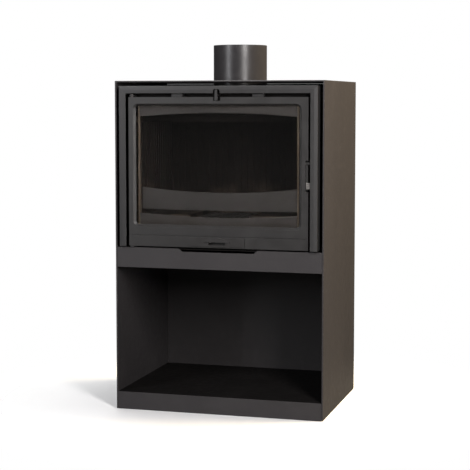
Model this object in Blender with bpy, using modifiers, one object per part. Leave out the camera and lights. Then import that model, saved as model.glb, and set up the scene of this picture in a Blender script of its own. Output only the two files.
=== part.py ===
"""Wood burning stove: a steel cabinet with a glazed fire over an open log store.

Units are metres, +X is to the right, +Y to the back and +Z up. The origin is on the floor, under
the middle of the whole object.
"""

from math import cos, pi, radians, sin, tan, tau

import bmesh
import bpy
from mathutils import Matrix, Vector

# ---- the cabinet ----
CABINET_WIDTH = 0.700
CABINET_HEIGHT = 1.085
CABINET_DEPTH = 0.520
FRONT_PROJECTION = 0.0165  # how far the air knob stands in front of the cabinet
SIDE_SHEET = 0.005
FRONT_SHEET = 0.003
BACK_SHEET = 0.002
PLINTH_TOP = 0.0575
STORE_TOP = 0.474
FASCIA_TOP = 0.541
SHELF_TOP = 0.5405
SCOOP_DEPTH = 0.0105
SCOOP_HALF_FOOT = 0.120
SCOOP_HALF_MOUTH = 0.133

# ---- the fire cassette ----
SURROUND_HALF_WIDTH = 0.3315
SURROUND_TOP = 1.0675
SURROUND_FACE = 0.0235  # width of a surround member, seen from the front
DOOR_HALF_WIDTH = 0.3002
DOOR_TOP = 1.032
DOOR_BOTTOM = 0.5463
DOOR_THICK = 0.020
GLASS_THICK = 0.004
RECESS_HALF_WIDTH = 0.282  # the door's opening where its bevel meets the face
RECESS_TOP = 1.011
RECESS_BOTTOM = 0.6105
GLASS_MIDDLE = -0.003  # the glazing sits a little nearer to the hinges than to the latch
BEVEL_WIDTH = 0.008
TOP_BEVEL_WIDTH = 0.005
FIREBOX_HALF_WIDTH = 0.300
FIREBOX_TOP = 1.020
FIREBOX_FLOOR = 0.556
FIREBOX_LENGTH = 0.351
HEARTH_TOP = 0.650
PLATE = 0.004

# ---- the flue ----
FLUE_RADIUS = 0.090
FLUE_TOP = 1.206
FLUE_FROM_FRONT = 0.273
FLUE_WALL = 0.002

# ---- the fire bed, the linings and the baffles ----
LINING_HALF = 0.2660  # half the width between the faces of the side linings
LINING_TOP = 0.9497
LINING_THICK = 0.035
BED_THICK = 0.032  # of the hearth bricks, and of the grate with the gap over it
GRATE_HALF = 0.100
GRATE_LENGTH = 0.223
GRATE_FROM_FRONT = 0.038
GRATE_RIM = 0.018
GRATE_PITCH = 0.024
GRATE_SLOT = 0.010
LEDGE = 0.010  # how far the hearth frame reaches under the grate
BAFFLE_THICK = 0.025
BAFFLE_PLATE_FOOT = 0.9945
BAFFLE_PLATE_SHEET = 0.003
FRONT_SMOKE_GAP = 0.095
REAR_SMOKE_GAP = 0.085

# ---- what stands in the mouth of the fire ----
MOUTH_HALF = 0.2640
MOUTH_SHEET = 0.003
BAND_EDGE = 0.9695  # the lower edge of the top band, at its ends
BAND_RISE = 0.0110
SILL_EDGE = 0.6545
SILL_DIP = 0.0115
GUARD_FOOT = 0.6660
GUARD_TOP = 0.7390
GUARD_DIP = 0.0155
GUARD_THICK = 0.007
GUARD_BOW = 0.009

# ---- the door's details ----
BEVEL_DEPTH = 0.0065
REBATE_HALF = 0.2805
REBATE_BOTTOM = 0.6140
REBATE_TOP = 1.0105
ROPE_HALF = 0.291
ROPE_BOTTOM = 0.607
ROPE_TOP = 1.0162
ROPE_BEND = 0.014
GROOVE_BOTTOM = 0.5815
GROOVE_TOP = 0.5843
GROOVE_DEPTH = 0.0018
OPENING_BEND = 0.010  # at the corners of the door's opening
REBATE_BEND = 0.008
RETAINER_BOTTOM = 0.660
RETAINER_TOP = 0.970
RETAINER_SHEET = 0.0016
SCREW_X = 0.2833  # to each side of the glass's middle
SCREW_HEIGHTS = (0.700, 0.930)
GRIP_HALF = 0.0920
GRIP_BOTTOM = 0.5510
GRIP_TOP = 0.5800
GRIP_SLOT_HALF = 0.0280
GRIP_SLOT_BOTTOM = 0.5550
GRIP_SLOT_TOP = 0.5632
HOOD_HALF = 0.046
HOOD_RISE = 0.0130

# ---- the latch and its keeper ----
LATCH_LEFT = 0.2935
LATCH_RIGHT = 0.2990
LATCH_FOOT = 0.7410
ARM_RIGHT = 0.3050
ARM_TOP = 0.0034  # over the pivot's middle
KEEPER_LEFT = 0.3078
KEEPER_RIGHT = 0.3106
KEEPER_PIN_RADIUS = 0.004

# ---- the air control ----
KNOB_NOTCH = 0.0110  # half the width of the notch round the knob
NOTCH_TOP = 1.0570
NOTCH_FOOT = 1.0207
KNOB_FOOT = 1.0222
KNOB_TOP = 1.0555
AIR_BOX_HALF = 0.100
AIR_BOX_TOP = 1.056
AIR_INLET = 0.012
AIR_ROD = 0.0034

# ---- pins, bores and screws ----
PIN_RADIUS = 0.004
PIN_BORE = 0.0043
LATCH_PIN_RADIUS = 0.0018
LATCH_BORE = 0.0023
SCREW_SHANK = 0.0016
SCREW_BORE = 0.0020
RETAINER_HOLE = 0.0022

# ---- clearances and edges ----
GAP = 0.0003  # between pieces that touch
SOFT_EDGE = 0.0012
FINE_EDGE = 0.0006
ARC_STEPS = 4

# ---- places worked out from the sizes above ----
HALF_WIDTH = CABINET_WIDTH / 2
CABINET_FRONT = FRONT_PROJECTION - (CABINET_DEPTH + FRONT_PROJECTION) / 2
CABINET_BACK = CABINET_FRONT + CABINET_DEPTH
INNER_HALF = HALF_WIDTH - SIDE_SHEET - GAP  # half the width between the side sheets
TOP_SHEET_UNDER = CABINET_HEIGHT - SIDE_SHEET
SURROUND_FRONT = CABINET_FRONT - 0.014
DOOR_FRONT = CABINET_FRONT - 0.007
DOOR_BACK = DOOR_FRONT + DOOR_THICK
LIP_BACK = DOOR_FRONT + BEVEL_DEPTH + 0.001
GASKET_BACK = LIP_BACK + GAP + 0.0017
GLASS_FRONT = GASKET_BACK + GAP
GLASS_BACK = GLASS_FRONT + GLASS_THICK
ROPE_RADIUS = 0.004
ROPE_Y = DOOR_BACK + GAP + ROPE_RADIUS
PLATE_FRONT = ROPE_Y + ROPE_RADIUS + GAP
PLATE_BACK = PLATE_FRONT + PLATE
FIREBOX_FRONT = PLATE_BACK + GAP
FIREBOX_BACK = FIREBOX_FRONT + FIREBOX_LENGTH
FLUE_Y = CABINET_FRONT + FLUE_FROM_FRONT
HINGE_X = -0.291
HINGE_Y = DOOR_FRONT + DOOR_THICK / 2
LATCH_Y = DOOR_FRONT + 0.004
LATCH_Z = 0.822
AIR_Z = 1.038
AIR_BACK = FIREBOX_FRONT + 0.102
BACK_LINING_FACE = FIREBOX_BACK - PLATE - LINING_THICK

PARTS = "wood_burning_stove"
CUTTERS = "cutters"
SIDES = (("left", -1), ("right", 1))
SCREW_PLACES = [
    (f"{label}_{number}", side * SCREW_X, height)
    for label, side in SIDES
    for number, height in enumerate(SCREW_HEIGHTS, start=1)
]


# ---- materials ----
def finish(name, color, roughness, metallic=0.0):
    """A plain shader of one colour."""
    material = bpy.data.materials.new(name)
    material.use_nodes = True
    shader = material.node_tree.nodes["Principled BSDF"]
    shader.inputs["Base Color"].default_value = (*color, 1.0)
    shader.inputs["Roughness"].default_value = roughness
    shader.inputs["Metallic"].default_value = metallic
    material.diffuse_color = (*color, 1.0)
    return material


# ---- outlines, as lists of two numbers ----
def filleted(corners):
    """The outline through corners of (across, along, radius), with each corner turned into an arc."""
    points = []
    count = len(corners)
    for index, (across, along, radius) in enumerate(corners):
        corner = Vector((across, along))
        if radius == 0:
            points.append(tuple(corner))
            continue
        before = (Vector(corners[index - 1][:2]) - corner).normalized()
        after = (Vector(corners[(index + 1) % count][:2]) - corner).normalized()
        half_angle = before.angle(after) / 2
        centre = corner + (before + after).normalized() * (radius / sin(half_angle))
        start = corner + before * (radius / tan(half_angle)) - centre
        turn = (corner + after * (radius / tan(half_angle)) - centre).angle_signed(start)
        for step in range(ARC_STEPS + 1):
            angle = turn * step / ARC_STEPS
            swung = Matrix.Rotation(angle, 2) @ start
            points.append(tuple(centre + swung))
    return points


def rectangle(left, right, bottom, top, radius=0.0):
    """The outline of a rectangle with round corners."""
    corners = [(left, bottom), (right, bottom), (right, top), (left, top)]
    return filleted([(across, along, radius) for across, along in corners])


def circle(across, along, radius, count=24):
    """The outline of a round hole or disc."""
    turns = [tau * step / count for step in range(count)]
    return [(across + radius * cos(turn), along + radius * sin(turn)) for turn in turns]


# ---- solids ----
def new_object(name, mesh, material, group=PARTS):
    """Puts a mesh in the scene under the given name."""
    thing = bpy.data.objects.new(name, mesh)
    bpy.data.collections[group].objects.link(thing)
    if material:
        mesh.materials.append(material)
    if group == CUTTERS:
        thing.hide_render = True
        thing.display_type = "WIRE"
    return thing


def round_edges(thing, width, segments=1):
    """Bevels the sharp edges of a piece."""
    bevel = thing.modifiers.new("Round edges", "BEVEL")
    bevel.width = width
    bevel.segments = segments
    bevel.limit_method = "ANGLE"
    bevel.angle_limit = radians(40)


def box(name, low, high, material, group=PARTS, edge=0.0):
    """A rectangular block between two corners, with its origin at its middle."""
    low = Vector(low)
    high = Vector(high)
    form = bmesh.new()
    bmesh.ops.create_cube(form, size=1.0)
    bmesh.ops.scale(form, vec=high - low, verts=form.verts)
    mesh = bpy.data.meshes.new(name)
    form.to_mesh(mesh)
    form.free()
    block = new_object(name, mesh, material, group)
    block.location = (low + high) / 2
    if edge:
        round_edges(block, edge)
    return block


PLANES = {
    "X": Matrix(((0, 0, 1), (1, 0, 0), (0, 1, 0))),  # outlines in (y, z), thick along x
    "Y": Matrix(((1, 0, 0), (0, 0, -1), (0, 1, 0))),  # outlines in (x, z), thick along y
    "Z": Matrix(((1, 0, 0), (0, 1, 0), (0, 0, 1))),  # outlines in (x, y), thick along z
}


def plate(name, axis, low, high, outlines, material, group=PARTS, edge=0.0):
    """A flat piece between two depths along an axis. The outlines after the first are its holes."""
    curve = bpy.data.curves.new(name, "CURVE")
    curve.dimensions = "2D"
    curve.fill_mode = "BOTH"
    curve.extrude = (high - low) / 2
    for outline in outlines:
        spline = curve.splines.new("POLY")
        spline.points.add(len(outline) - 1)
        for point, (across, along) in zip(spline.points, outline):
            point.co = (across, along, 0.0, 1.0)
        spline.use_cyclic_u = True
    flat = bpy.data.objects.new(name + "_outline", curve)
    bpy.context.scene.collection.objects.link(flat)
    seen = flat.evaluated_get(bpy.context.evaluated_depsgraph_get())
    mesh = bpy.data.meshes.new_from_object(seen)
    bpy.data.objects.remove(flat)
    form = bmesh.new()
    form.from_mesh(mesh)
    bmesh.ops.remove_doubles(form, verts=form.verts, dist=1e-6)
    bmesh.ops.transform(form, matrix=PLANES[axis].to_4x4(), verts=form.verts)
    bmesh.ops.dissolve_limit(form, angle_limit=radians(1), verts=form.verts, edges=form.edges)
    bmesh.ops.recalc_face_normals(form, faces=form.faces)
    form.to_mesh(mesh)
    form.free()
    mesh.materials.clear()
    piece = new_object(name, mesh, material, group)
    piece.location["XYZ".index(axis)] = (low + high) / 2
    if edge:
        round_edges(piece, edge)
    return piece


def rod(name, start, end, radius, material, group=PARTS, sides=16):
    """A straight round bar between two points."""
    start = Vector(start)
    end = Vector(end)
    form = bmesh.new()
    length = (end - start).length
    bmesh.ops.create_cone(
        form, cap_ends=True, segments=sides, radius1=radius, radius2=radius, depth=length
    )
    mesh = bpy.data.meshes.new(name)
    form.to_mesh(mesh)
    form.free()
    bar = new_object(name, mesh, material, group)
    bar.location = (start + end) / 2
    bar.rotation_euler = (end - start).to_track_quat("Z", "Y").to_euler()
    mesh.shade_smooth()
    mesh.set_sharp_from_angle(angle=radians(40))
    return bar


def turned(name, profile, place, material, sides=48, closed=False):
    """A piece of revolution about an upright axis, from a profile of (radius, height)."""
    form = bmesh.new()
    corners = [form.verts.new((radius, 0.0, height)) for radius, height in profile]
    for first, second in zip(corners, corners[1:]):
        form.edges.new((first, second))
    if closed:
        form.edges.new((corners[-1], corners[0]))
    mesh = bpy.data.meshes.new(name)
    form.to_mesh(mesh)
    form.free()
    piece = new_object(name, mesh, material)
    piece.location = place
    screw = piece.modifiers.new("Turn", "SCREW")
    screw.steps = sides
    screw.render_steps = sides
    screw.use_merge_vertices = True
    screw.merge_threshold = 0.00001
    return piece


def loft(name, rings, material, group=PARTS):
    """A skin over rings of points that have the same count, closed at both ends."""
    form = bmesh.new()
    loops = [[form.verts.new(point) for point in ring] for ring in rings]
    count = len(rings[0])
    for first, second in zip(loops, loops[1:]):
        for step in range(count):
            after = (step + 1) % count
            form.faces.new((first[step], first[after], second[after], second[step]))
    form.faces.new(loops[0])
    form.faces.new(loops[-1])
    bmesh.ops.recalc_face_normals(form, faces=form.faces)
    mesh = bpy.data.meshes.new(name)
    form.to_mesh(mesh)
    form.free()
    return new_object(name, mesh, material, group)


def combine(target, other, operation):
    """Cuts another solid out of a piece, or joins it on."""
    boolean = target.modifiers.new(other.name, "BOOLEAN")
    boolean.operation = operation
    boolean.object = other


def cut(target, *cutters):
    """Takes the cutters' shapes out of a piece."""
    for cutter in cutters:
        combine(target, cutter, "DIFFERENCE")


def fuse(target, *others):
    """Joins solids that overlap a piece onto it."""
    for other in others:
        combine(target, other, "UNION")


def sided(low, high, side):
    """Two corners on the right, turned to the left for a side of -1, still low then high."""
    if side > 0:
        return low, high
    return (-high[0], *low[1:]), (-low[0], *high[1:])


def beside_glass(*pieces):
    """Moves pieces made round x = 0 to the glass's own middle."""
    for piece in pieces:
        piece.location.x += GLASS_MIDDLE


# ---- the cabinet ----
def build_cabinet(paint, inner_paint, steel):
    for label, side in SIDES:
        low = (HALF_WIDTH - SIDE_SHEET, CABINET_FRONT, 0.0)
        high = (HALF_WIDTH, CABINET_BACK, CABINET_HEIGHT)
        box(f"side_panel_{label}", *sided(low, high, side), paint, edge=SOFT_EDGE)
    plate(
        "top_plate", "Z", TOP_SHEET_UNDER, CABINET_HEIGHT,
        [
            rectangle(-INNER_HALF, INNER_HALF, CABINET_FRONT, CABINET_BACK),
            circle(0.0, FLUE_Y, FLUE_RADIUS + 0.0035, count=48),
        ],
        paint, edge=SOFT_EDGE,
    )
    build_back_panel(paint)
    build_fascia(paint)
    depths = (CABINET_FRONT + FRONT_SHEET + GAP, CABINET_BACK - BACK_SHEET - 2 * GAP)
    shelves = (
        ("hearth_shelf", SHELF_TOP - FRONT_SHEET, SHELF_TOP, inner_paint),
        ("store_ceiling", STORE_TOP, STORE_TOP + 0.002, inner_paint),
        ("store_floor", PLINTH_TOP - FRONT_SHEET, PLINTH_TOP, inner_paint),
    )
    for name, bottom, top, material in shelves:
        box(name, (-INNER_HALF, depths[0], bottom), (INNER_HALF, depths[1], top), material)
    box(
        "plinth_front",
        (-INNER_HALF, CABINET_FRONT, 0.0),
        (INNER_HALF, CABINET_FRONT + FRONT_SHEET, PLINTH_TOP),
        paint, edge=FINE_EDGE,
    )
    shield_face = FIREBOX_BACK + 0.065
    shield_sheet = 0.0015
    shield_top = TOP_SHEET_UNDER - 0.030
    box(
        "rear_heat_shield",
        (-INNER_HALF, shield_face, SHELF_TOP + GAP),
        (INNER_HALF, shield_face + shield_sheet, shield_top),
        steel,
    )
    build_feet(steel)


def build_back_panel(paint):
    """The back sheet, with three columns of convection louvres behind the firebox."""
    slot_half = 0.045
    slot_high = 0.008
    first_row = 0.620
    row_pitch = 0.040
    holes = []
    for column in (-0.14, 0.0, 0.14):
        for row in range(7):
            bottom = first_row + row_pitch * row
            hole = rectangle(column - slot_half, column + slot_half, bottom, bottom + slot_high)
            holes.append(hole)
    foot = 0.020
    outer = rectangle(-INNER_HALF, INNER_HALF, foot, TOP_SHEET_UNDER - GAP)
    back = CABINET_BACK - GAP
    plate("back_panel", "Y", back - BACK_SHEET, back, [outer, *holes], paint)


def build_fascia(paint):
    """The band between the door and the log store, with a finger scoop in its top edge."""
    foot = FASCIA_TOP - SCOOP_DEPTH
    bend = 0.006
    outline = filleted(
        [
            (-INNER_HALF, STORE_TOP, 0.0),
            (INNER_HALF, STORE_TOP, 0.0),
            (INNER_HALF, FASCIA_TOP, 0.0),
            (SCOOP_HALF_MOUTH, FASCIA_TOP, bend),
            (SCOOP_HALF_FOOT, foot, bend),
            (-SCOOP_HALF_FOOT, foot, bend),
            (-SCOOP_HALF_MOUTH, FASCIA_TOP, bend),
            (-INNER_HALF, FASCIA_TOP, 0.0),
        ]
    )
    back = CABINET_FRONT + FRONT_SHEET
    plate("fascia_band", "Y", CABINET_FRONT, back, [outline], paint, edge=FINE_EDGE)


def build_feet(steel):
    """Four levelling feet, each a pad on a threaded stud that reaches the floor of the log store."""
    pad = 0.020
    stud = 0.005
    shoulder = 0.008
    neck = 0.012
    top = PLINTH_TOP - FRONT_SHEET - GAP
    profile = [(0.0, top), (stud, top), (stud, neck), (pad * 0.7, shoulder)]
    profile += [(pad, 0.0), (0.0, 0.0)]
    inset = 0.050
    places = [(x, y) for y in (CABINET_FRONT + inset, CABINET_BACK - inset) for x in (-1, 1)]
    for number, (side, along) in enumerate(places, start=1):
        across = side * (HALF_WIDTH - inset)
        turned(f"levelling_foot_{number}", profile, (across, along, 0.0), steel, sides=20)


# ---- the flue ----
def build_flue(paint, iron):
    inner = FLUE_RADIUS - FLUE_WALL
    neck = inner - 0.0008
    bore = neck - 0.004
    flange = 0.108
    flange_foot = FIREBOX_TOP + GAP
    flange_top = flange_foot + 0.006
    neck_top = flange_top + 0.034
    collar = [(neck, neck_top), (neck, flange_top), (flange, flange_top), (flange, flange_foot)]
    collar += [(bore, flange_foot), (bore, neck_top)]
    turned("flue_collar", collar, (0.0, FLUE_Y, 0.0), iron, closed=True)
    foot = flange_top + GAP
    rim = 0.0007
    pipe = [(FLUE_RADIUS - rim, FLUE_TOP), (FLUE_RADIUS, FLUE_TOP - rim), (FLUE_RADIUS, foot)]
    pipe += [(inner, foot), (inner, FLUE_TOP - rim), (inner + rim, FLUE_TOP)]
    turned("flue_pipe", pipe, (0.0, FLUE_Y, 0.0), paint, sides=64, closed=True)


# ---- the firebox ----
def fluted(start, end, face, back, flute=0.0025, pitch=0.0225):
    """The outline of a board from start to end, with flutes cut into its face."""
    inward = 1 if back > face else -1
    count = int((end - start) / pitch)
    width = pitch * 0.35
    margin = (end - start - (count - 1) * pitch - width) / 2
    points = [(start, face)]
    for number in range(count):
        left = start + margin + number * pitch
        right = left + width
        floor = face + inward * flute
        points += [(left, face), (left, floor), (right, floor), (right, face)]
    return points + [(end, face), (end, back), (start, back)]


def build_firebox(steel, brick, iron, dark):
    inner = FIREBOX_HALF_WIDTH - PLATE
    roof_under = FIREBOX_TOP - PLATE
    wrap = [
        (-FIREBOX_HALF_WIDTH, FIREBOX_FRONT),
        (-FIREBOX_HALF_WIDTH, FIREBOX_BACK),
        (FIREBOX_HALF_WIDTH, FIREBOX_BACK),
        (FIREBOX_HALF_WIDTH, FIREBOX_FRONT),
        (inner, FIREBOX_FRONT),
        (inner, FIREBOX_BACK - PLATE),
        (-inner, FIREBOX_BACK - PLATE),
        (-inner, FIREBOX_FRONT),
    ]
    plate("firebox_wrap", "Z", SHELF_TOP + GAP, roof_under - GAP, [wrap], steel)
    inside = inner - GAP
    depths = (FIREBOX_FRONT, FIREBOX_BACK - PLATE - GAP)
    box(
        "firebox_base",
        (-inside, depths[0], FIREBOX_FLOOR),
        (inside, depths[1], FIREBOX_FLOOR + PLATE),
        steel,
    )
    roof = rectangle(-FIREBOX_HALF_WIDTH, FIREBOX_HALF_WIDTH, FIREBOX_FRONT, FIREBOX_BACK)
    slot_half = AIR_BOX_HALF - 0.015
    air_slot = rectangle(-slot_half, slot_half, FIREBOX_FRONT + 0.015, FIREBOX_FRONT + 0.032)
    flue_hole = circle(0.0, FLUE_Y, FLUE_RADIUS - 0.008, count=32)
    plate("firebox_top", "Z", roof_under, FIREBOX_TOP, [roof, air_slot, flue_hole], steel)
    build_hearth(inside, depths, brick, iron, steel)
    build_linings(inside, depths, brick)
    build_baffles(inside, depths, brick, steel)
    build_front_plate(dark)


def build_hearth(inside, depths, brick, iron, steel):
    """The fire bed: a frame that carries a grate between two bricks, over the ash pan."""
    grate_front = depths[0] + GRATE_FROM_FRONT
    grate_back = grate_front + GRATE_LENGTH
    frame_top = HEARTH_TOP - BED_THICK
    hole_half = GRATE_HALF - LEDGE
    hole_depths = (grate_front + LEDGE, grate_back - LEDGE)
    outer = rectangle(-inside, inside, *depths)
    ash_hole = rectangle(-hole_half, hole_half, *hole_depths)
    plate("hearth_frame", "Z", frame_top - PLATE, frame_top, [outer, ash_hole], steel)
    lining_face = LINING_HALF - GAP
    for label, side in SIDES:
        low = (GRATE_HALF + GAP, depths[0], frame_top + GAP)
        high = (lining_face, BACK_LINING_FACE - GAP, HEARTH_TOP)
        box(f"hearth_brick_{label}", *sided(low, high, side), brick)
    slots = []
    slot_depths = (grate_front + GRATE_RIM, grate_back - GRATE_RIM)
    for number in range(-3, 4):
        across = number * GRATE_PITCH
        slots.append(rectangle(across - GRATE_SLOT / 2, across + GRATE_SLOT / 2, *slot_depths))
    outline = rectangle(-GRATE_HALF, GRATE_HALF, grate_front, grate_back)
    grate_top = HEARTH_TOP - 0.014
    plate("grate", "Z", frame_top + GAP, grate_top, [outline, *slots], iron)
    play = 0.005  # round the ash pan, as it is lifted out through the hearth frame
    wall = 0.0015
    pan_low = (-hole_half + play, hole_depths[0] + play, FIREBOX_FLOOR + PLATE + GAP)
    pan_high = (hole_half - play, hole_depths[1] - play, frame_top - 2 * play)
    pan = box("ash_pan", pan_low, pan_high, steel)
    hollow_low = [pan_low[0] + wall, pan_low[1] + wall, pan_low[2] + wall]
    hollow_high = [pan_high[0] - wall, pan_high[1] - wall, pan_high[2] + wall]
    cut(pan, box("ash_pan_hollow", hollow_low, hollow_high, None, CUTTERS))


def build_linings(inside, depths, brick):
    """Fluted boards that stand along the sides and the back of the fire."""
    bottom = HEARTH_TOP - 0.030
    for label, side in SIDES:
        outline = fluted(depths[0], BACK_LINING_FACE - GAP, LINING_HALF, inside)
        turned_over = [(side * across, along) for along, across in outline]
        plate(f"lining_{label}", "Z", bottom, LINING_TOP, [turned_over], brick)
    outline = fluted(-inside, inside, BACK_LINING_FACE, depths[1])
    plate("lining_back", "Z", bottom, LINING_TOP, [outline], brick)


def build_baffles(inside, depths, brick, steel):
    """A board over the fire that leaves a smoke gap at its front, and a plate that leaves one behind."""
    board_foot = LINING_TOP + GAP
    box(
        "baffle_board",
        (-inside, depths[0] + FRONT_SMOKE_GAP, board_foot),
        (inside, depths[1], board_foot + BAFFLE_THICK),
        brick,
    )
    box(
        "baffle_plate",
        (-inside, depths[0], BAFFLE_PLATE_FOOT),
        (inside, depths[1] - REAR_SMOKE_GAP, BAFFLE_PLATE_FOOT + BAFFLE_PLATE_SHEET),
        steel,
    )


def build_front_plate(dark):
    """The face of the firebox: the door's rope seals on it, round the mouth of the fire."""
    inset = 0.0038  # inside the surround frame's sheet
    half = SURROUND_HALF_WIDTH - inset
    outer = rectangle(-half, half, SHELF_TOP + 2 * GAP, SURROUND_TOP - inset)
    seat = 0.006  # from the rope's middle to the edge of the mouth, above and below
    side_seat = 0.008
    mouth = rectangle(
        GLASS_MIDDLE - ROPE_HALF + side_seat, GLASS_MIDDLE + ROPE_HALF - side_seat,
        ROPE_BOTTOM + seat, ROPE_TOP - seat, 0.012,
    )
    air_hole = circle(0.0, AIR_Z, AIR_ROD + 0.0012, count=16)
    plate("front_plate", "Y", PLATE_FRONT, PLATE_BACK, [outer, mouth, air_hole], dark)


# ---- what stands in the mouth of the fire ----
def dipped(left, right, level, dip, steps=12):
    """Points from left to right along a level that dips by an arc in its middle."""
    points = []
    for step in range(steps + 1):
        share = step / steps
        across = left + (right - left) * share
        points.append((across, level - dip * (1 - (2 * share - 1) ** 2)))
    return points


def build_fire_mouth(iron, bright):
    """The cast pieces that stand close behind the glass."""
    half = MOUTH_HALF
    face = GLASS_BACK + 0.0035
    back = face + MOUTH_SHEET
    inset = 0.0015  # inside the rebate that the door holds its glass in
    band_top = REBATE_TOP - inset
    band = [(-half, band_top), (half, band_top), *dipped(half, -half, BAND_EDGE, -BAND_RISE)]
    deflector = plate("air_wash_deflector", "Y", face, back, [band], iron, edge=FINE_EDGE)
    sill_foot = REBATE_BOTTOM + inset
    sill = [(-half, sill_foot), (half, sill_foot), *dipped(half, -half, SILL_EDGE, SILL_DIP)]
    sill_sheet = plate("sill_plate", "Y", face, back, [sill], iron, edge=FINE_EDGE)
    beside_glass(deflector, sill_sheet)
    jamb_wide = 0.0059
    for label, side in SIDES:
        low = (half + 2 * GAP, face, sill_foot)
        high = (half + 2 * GAP + jamb_wide, PLATE_BACK, band_top)
        beside_glass(box(f"jamb_{label}", *sided(low, high, side), bright, edge=FINE_EDGE))
    build_log_guard(half, back, iron)


def build_log_guard(half, back, iron):
    """A fence that bows towards the glass, with a top edge that dips in its middle."""
    ring_half = half - 0.003
    chamfer = 0.0015
    rings = []
    for across, top in dipped(-ring_half, ring_half, GUARD_TOP, GUARD_DIP):
        front = back + chamfer + GUARD_BOW * (across / ring_half) ** 2
        rear = front + GUARD_THICK
        rings.append(
            [
                (across, front, GUARD_FOOT),
                (across, front, top - chamfer),
                (across, front + chamfer, top),
                (across, rear - chamfer, top),
                (across, rear, top - chamfer),
                (across, rear, GUARD_FOOT),
            ]
        )
    beside_glass(loft("log_guard", rings, iron))


# ---- the surround frame ----
def build_surround(dark):
    """A bent sheet swept up one side, over the top and down the other, mitred at the corners."""
    outer = SURROUND_FACE
    sheet = 0.003
    crease = 0.012
    slope = 0.0025
    profile = [
        (0.0, SURROUND_FRONT),
        (crease, SURROUND_FRONT),
        (outer, SURROUND_FRONT + slope),
        (outer, PLATE_BACK),
        (outer - sheet, PLATE_BACK),
        (outer - sheet, SURROUND_FRONT + slope + sheet),
        (crease, SURROUND_FRONT + sheet),
        (0.0, SURROUND_FRONT + sheet),
    ]
    half = SURROUND_HALF_WIDTH - SURROUND_FACE
    top = SURROUND_TOP - SURROUND_FACE
    foot = FASCIA_TOP + 0.004
    path = [(-half, foot, -1, 0), (-half, top, -1, 1), (half, top, 1, 1), (half, foot, 1, 0)]
    rings = []
    for across, height, outward, upward in path:
        ring = [(across + outward * out, depth, height + upward * out) for out, depth in profile]
        rings.append(ring)
    frame = loft("surround_frame", rings, dark)
    beyond = 0.010
    bend = 0.006
    notch = filleted(
        [
            (-KNOB_NOTCH, top - beyond, 0.0),
            (KNOB_NOTCH, top - beyond, 0.0),
            (KNOB_NOTCH, NOTCH_TOP, bend),
            (-KNOB_NOTCH, NOTCH_TOP, bend),
        ]
    )
    depths = (SURROUND_FRONT - beyond, SURROUND_FRONT + beyond)
    cut(frame, plate("surround_notch", "Y", *depths, [notch], None, CUTTERS))
    round_edges(frame, FINE_EDGE)
    play = 0.0006
    block_left = 0.1165
    block_right = 0.1545
    for label, side in SIDES:
        low = (block_left, DOOR_FRONT + 0.005, DOOR_TOP + play)
        high = (block_right, PLATE_FRONT - GAP, top - play)
        box(f"spacer_block_{label}", *sided(low, high, side), dark, edge=FINE_EDGE)


# ---- the air control ----
def build_air_control(dark, steel):
    """A box over the firebox lets air in through its back, and a shutter on a pull rod closes it."""
    low = (-AIR_BOX_HALF, FIREBOX_FRONT, FIREBOX_TOP + GAP)
    high = (AIR_BOX_HALF, AIR_BACK, AIR_BOX_TOP)
    wall = 0.002
    casing = box("air_box", low, high, steel)
    hollow_low = (low[0] + wall, low[1] - wall, low[2] - wall)
    hollow_high = (high[0] - wall, high[1] - wall, high[2] - wall)
    beyond = 0.010
    inlet = rod(
        "air_inlet", (0.0, AIR_BACK - beyond, AIR_Z), (0.0, AIR_BACK + beyond, AIR_Z),
        AIR_INLET, None, CUTTERS, sides=24,
    )
    cut(casing, box("air_box_hollow", hollow_low, hollow_high, None, CUTTERS), inlet)

    slider = bpy.data.objects.new("air_control_axis", None)
    slider.location = (0.0, SURROUND_FRONT, AIR_Z)
    bpy.data.collections[PARTS].objects.link(slider)
    knob_front = CABINET_FRONT - FRONT_PROJECTION
    knob_back = knob_front + 0.005
    foot_half = 0.0050
    top_half = 0.0036
    outline = filleted(
        [
            (-foot_half, KNOB_FOOT, 0.0015),
            (foot_half, KNOB_FOOT, 0.0015),
            (top_half, KNOB_TOP, 0.0030),
            (-top_half, KNOB_TOP, 0.0030),
        ]
    )
    knob = plate("air_knob", "Y", knob_front, knob_back, [outline], dark)
    shutter_back = AIR_BACK - wall - 0.0008
    shutter_front = shutter_back - 0.003
    bar = rod(
        "air_knob_rod", (0.0, knob_back - 0.002, AIR_Z), (0.0, shutter_front - GAP, AIR_Z),
        AIR_ROD, None, CUTTERS,
    )
    fuse(knob, bar)
    disc = rod(
        "air_shutter", (0.0, shutter_front, AIR_Z), (0.0, shutter_back, AIR_Z),
        AIR_INLET + 0.003, steel, sides=24,
    )
    carry(slider, knob, disc)


def carry(axis, *pieces):
    """Fixes pieces to the empty on their joint's axis, without moving them."""
    bpy.context.view_layer.update()
    for piece in pieces:
        piece.parent = axis
        piece.matrix_parent_inverse = axis.matrix_world.inverted()


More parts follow.
